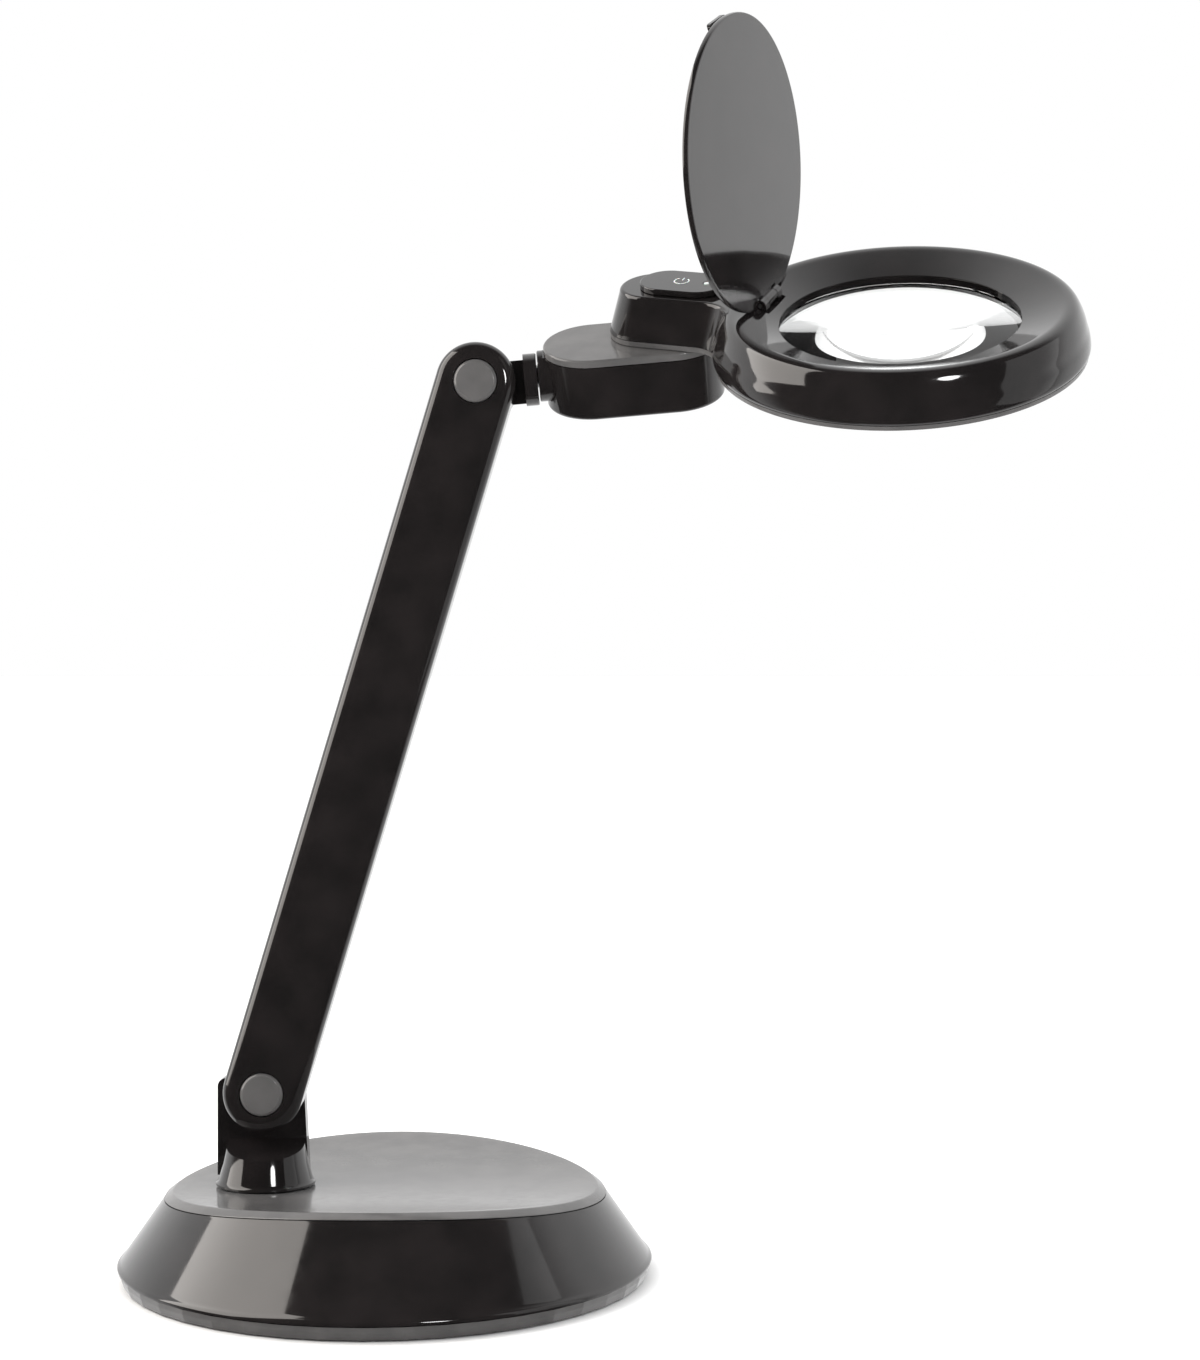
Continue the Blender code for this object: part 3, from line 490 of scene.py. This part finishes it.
def make_head():
    lens_at = (LENS_X, 0, 0)
    low = SPLIT_Z + GAP
    outside = swept([(RING_R, low), (64.7, 15.0), (64.3, 18.0), (63.5, 20.8), (62.6, 24.0), (61.3, 27.0),
                     (CREST_R, 28.9), (58.4, 29.9), (56.4, 30.0), (54.3, 29.4)])
    inside = [(APERTURE_R + 0.3, 25.1), (APERTURE_R, 24.8), (APERTURE_R, 22.4), (44.0, 22.4), (44.0, 23.8),
              (54.4, 26.9), (57.4, 27.0), (59.4, 24.6), (61.2, 20.0), (62.2, 15.5), (62.2, low)]
    ring = turned(outside + inside, FINE, lens_at)
    tail = plate_of(head_outline(TAIL_HALF[0], TAIL_END_X[0], RING_R), low, TAIL_TOP_Z,
                    head_outline(TAIL_HALF[1], TAIL_END_X[1], CREST_R))
    tail = join(ease(tail, 1, 1.4), "DIFFERENCE", rod(TAIL_REACH, 0, 50, FINE, lens_at))
    pocket = block((HINGE_X - 3.4, HINGE_X + 3.4), (-EAR_OUT - 0.6, EAR_OUT + 0.6), (HINGE_Z - 3.2, 40))
    cavity = slab(TAIL_HALF[1] - 2.2, TAIL_END_X[1], 12, 5, TAIL_TOP_Z - 2.2)
    shell = join(join(join(ring, "UNION", tail), "DIFFERENCE", pocket), "DIFFERENCE", cavity)
    piece("head_shell", shell, HEAD, "head", "black_gloss", "head_upper_shell", crisp=38)
    low, high = HEAD_LOW_Z, SPLIT_Z
    band = turned([(61.8, low), (COVER_R - 0.7, low), (COVER_R - 0.2, low + 0.25), (COVER_R, low + 0.8),
                   (COVER_R, high), (61.8, high)], FINE, lens_at)
    under = plate_of(head_outline(TAIL_HALF[0] - 0.1, TAIL_END_X[0], COVER_R - 0.1), low, high)
    under = join(under, "DIFFERENCE", rod(63.0, 0, 50, FINE, lens_at))
    under = join(join(band, "UNION", under), "DIFFERENCE", rod(SHAFT_R + GAP, 5, 20))
    piece("head_underside", under, HEAD, "head", "grey_gloss", "head_lower_cover")


def make_optics():
    lens_at = (LENS_X, 0, 0)
    low, high = LENS_EDGE_Z
    curve = [i / 24 for i in range(24)]
    below = [(LENS_R * t, low - LENS_DOME * (1 - t * t)) for t in curve]
    above = [(LENS_R * t, high + LENS_DOME * (1 - t * t)) for t in reversed(curve)]
    lens = turned(below + [(LENS_R, low), (LENS_R, high)] + above, FINE, lens_at)
    piece("magnifying_lens", lens, HEAD, "head", "lens_glass", "lens")
    inner, wall = APERTURE_R + 0.2, LENS_R + GAP
    foot = HEAD_LOW_Z
    cup = turned([(inner, foot + 0.3), (inner + 0.3, foot), (45.9, foot), (46.2, foot + 0.3),
                  (46.2, 20.6), (wall, 20.6), (wall, low - 1.0), (inner, low - 1.0)], FINE, lens_at)
    piece("lens_seat", cup, HEAD, "head", "black_gloss", "lens_retainer")
    ripples = [(46.5 + 0.75 * i, HEAD_LOW_Z + (0.6 if i % 2 else 0.85)) for i in range(21)]
    light = turned(ripples + [(61.5, SPLIT_Z + 0.2), (46.5, SPLIT_Z + 0.2)], FINE, lens_at)
    piece("ribbed_diffuser", light, HEAD, "head", "frosted_plastic", "diffuser_ring", crisp=60)


def make_controls():
    low = TAIL_TOP_Z + GAP
    pad = ease(slab(PAD_HALF, PAD_END_X[0], PAD_END_X[1], low, PAD_TOP_Z), 1, 0.5, 4)
    pad = join(pad, "DIFFERENCE", rod(1.5, 29, 35, SMALL, (DOT_X, 0, 0)))
    piece("touch_pad", pad, HEAD, "head", "black_gloss", "touch_panel")
    dot_top = PAD_TOP_Z + 0.1
    dot = turned([(0, low), (1.1, low), (1.1, PAD_TOP_Z - 0.1), (0.9, PAD_TOP_Z + 0.05), (0, dot_top)], SMALL,
                 (DOT_X, 0, 0))
    piece("indicator", dot, HEAD, "head", "frosted_plastic", "indicator_lens")
    centre = sum(PAD_END_X) / 2 - 0.5
    mark = bmesh.new()
    line = [mark.verts.new(Vector((2.4, 0, 0)) + Vector(corner))
            for corner in ((0, 0, -0.1), (0.4, 0, -0.1), (0.4, 0, 0.08), (0, 0, 0.08))]
    section = mark.faces.new(line)
    bmesh.ops.spin(mark, geom=[section], cent=(0, 0, 0), axis=(0, 0, 1), angle=math.radians(290), steps=60,
                   use_duplicate=False)
    turn(mark, 125, "Z")
    shift(mark, (centre, 0, PAD_TOP_Z))
    piece("power_mark_ring", mark, HEAD, "head", "frosted_plastic")
    bar = ease(block((centre - 0.2, centre + 0.2), (0.6, 3.0), (PAD_TOP_Z - 0.1, PAD_TOP_Z + 0.08)), 1, 0.04, 2)
    piece("power_mark_bar", bar, HEAD, "head", "frosted_plastic")


# ---------------------------------------------------------------- lens cover

def make_cover():
    disc = turned([(0, 0.1), (LID_R - 0.7, 0.1), (LID_R - 0.2, 0.3), (LID_R, 0.8), (LID_R, 1.6),
                   (LID_R - 0.2, 2.1), (LID_R - 0.7, LID_THICK + 0.1), (0, LID_THICK + 0.1)],
                  FINE, (LID_CENTRE, 0, 0))
    trim = block((-10, 1.2), (-40, 40), (-5, 8))
    notch = block((-10, KNUCKLE_R + 0.5), (-EAR_OUT - 0.4, EAR_OUT + 0.4), (-5, 8))
    disc = join(disc, "DIFFERENCE", trim, notch)
    knuckle = along_y(rod(KNUCKLE_R - 0.1, -KNUCKLE_HALF, KNUCKLE_HALF, SMALL))
    web = block((0, 3.6), (-KNUCKLE_HALF, KNUCKLE_HALF), (0.1, LID_THICK))
    tip = LID_CENTRE + LID_R
    tab = ease_along(block((tip - 9, tip - 0.6), (-8, 8), (LID_THICK - 0.6, LID_THICK + 0.6)), UP, 2.5)
    for vert in tab.verts:
        vert.co.z += 2.2 * max(0.0, (vert.co.x - tip + 6) / 6) ** 2
    disc = join(disc, "UNION", knuckle, web, tab)
    bore = along_y(rod(1.1, -20, 20, SMALL))
    piece("swing_cover", join(disc, "DIFFERENCE", bore), LID, "lid", "black_gloss", "lens_cover")


def dress_frame_nodes():
    """Every frame node takes its finish; those with no finer piece keep their shape and stay in view."""
    for part in frame["record"]["subparts"]:
        for holder in frame["nodes"][part["node"]].material_slots:
            holder.material = FINISHES[part["material_slot"]]


# ---------------------------------------------------------------- studio

LAMP_MIDDLE = (0.04, 0, 0.2)
CAMERA_PLACE = (0.07718, -0.90319, 0.22143)
CAMERA_DOWN = 0.47
CAMERA_LENS = 66.18
CAMERA_SENSOR = 36
FLOOR_HALF = 30.0
FLOOR_DROP = 0.0003
SKY_STRENGTH = 3.0
SKY_SPREAD = 120

def aim(obj, target):
    obj.rotation_euler = (Vector(target) - obj.location).to_track_quat("-Z", "Y").to_euler()


def panel(name, place, size, radiance, shape="RECTANGLE", colour=(1, 1, 1)):
    """A soft light that shines at the lamp and shows only in what it lights and in reflections."""
    light = bpy.data.lights.new(name, "AREA")
    light.shape = shape
    light.size = size[0]
    light.size_y = size[1]
    light.color = colour
    area = size[0] * size[1] * (math.pi / 4 if shape == "ELLIPSE" else 1.0)
    light.energy = radiance * math.pi * area
    obj = bpy.data.objects.new(name, light)
    bpy.context.scene.collection.objects.link(obj)
    obj.location = place
    aim(obj, LAMP_MIDDLE)
    obj.visible_camera = False


def make_studio():
    floor = bmesh.new()
    bmesh.ops.create_grid(floor, x_segments=8, y_segments=8, size=FLOOR_HALF)
    mesh = bpy.data.meshes.new("pale_floor")
    floor.to_mesh(mesh)
    floor.free()
    mesh.materials.append(finish("pale_floor", (0.86, 0.86, 0.86), (0.88, 0.88, 0.88), (0.8, 0.9),
                                 60, 0.0))
    obj = bpy.data.objects.new("pale_floor", mesh)
    bpy.context.scene.collection.objects.link(obj)
    obj.location.z = -FLOOR_DROP
    obj.visible_glossy = False
    panel("left_softbox", (-1.2, -0.2, 0.9), (1.2, 1.6), 4.0, colour=(1.0, 0.95, 0.90))
    panel("right_panel", (1.3, -0.35, 0.45), (0.9, 1.4), 0.6)
    panel("small_key", (0.62, -1.35, 0.58), (0.30, 0.30), 25.0, "ELLIPSE")
    sky = bpy.data.lights.new("even_top_light", "SUN")
    sky.energy = SKY_STRENGTH
    sky.angle = math.radians(SKY_SPREAD)
    top = bpy.data.objects.new("even_top_light", sky)
    bpy.context.scene.collection.objects.link(top)
    top.visible_glossy = False
    make_room()


def make_room():
    """White where it is seen directly. For reflections it is bright behind the lamp and dark in front."""
    world = bpy.data.worlds.new("studio_room")
    bpy.context.scene.world = world
    world.use_nodes = True
    tree = world.node_tree
    tree.nodes.clear()
    coords = tree.nodes.new("ShaderNodeTexCoord")
    split = tree.nodes.new("ShaderNodeSeparateXYZ")
    ramp = tree.nodes.new("ShaderNodeMapRange")
    ramp.interpolation_type = "SMOOTHSTEP"
    ramp.inputs["From Min"].default_value = -0.15
    ramp.inputs["From Max"].default_value = 0.35
    ramp.inputs["To Min"].default_value = 0.012
    ramp.inputs["To Max"].default_value = 1.0
    seen = tree.nodes.new("ShaderNodeBackground")
    mirrored = tree.nodes.new("ShaderNodeBackground")
    path = tree.nodes.new("ShaderNodeLightPath")
    choose = tree.nodes.new("ShaderNodeMixShader")
    out = tree.nodes.new("ShaderNodeOutputWorld")
    seen.inputs["Color"].default_value = (1, 1, 1, 1)
    mirrored.inputs["Color"].default_value = (1, 1, 1, 1)
    tree.links.new(coords.outputs["Generated"], split.inputs["Vector"])
    tree.links.new(split.outputs["Y"], ramp.inputs["Value"])
    tree.links.new(ramp.outputs["Result"], mirrored.inputs["Strength"])
    tree.links.new(path.outputs["Is Camera Ray"], choose.inputs["Fac"])
    tree.links.new(mirrored.outputs["Background"], choose.inputs[1])
    tree.links.new(seen.outputs["Background"], choose.inputs[2])
    tree.links.new(choose.outputs["Shader"], out.inputs["Surface"])


def make_camera():
    camera = bpy.data.cameras.new("view")
    camera.lens = CAMERA_LENS
    camera.sensor_width = CAMERA_SENSOR
    obj = bpy.data.objects.new("view", camera)
    bpy.context.scene.collection.objects.link(obj)
    obj.location = CAMERA_PLACE
    obj.rotation_euler = (math.radians(90 - CAMERA_DOWN), 0, 0)
    bpy.context.scene.camera = obj
    bpy.context.scene.view_settings.view_transform = "Standard"


make_camera()
dress_frame_nodes()
make_base()
make_post()
ear_cap("lower", LOWER_EAR, "post")
ear_cap("upper", ELBOW, "elbow")
make_arm()
make_elbow()
make_link()
make_head()
make_optics()
make_controls()
make_cover()
make_studio()
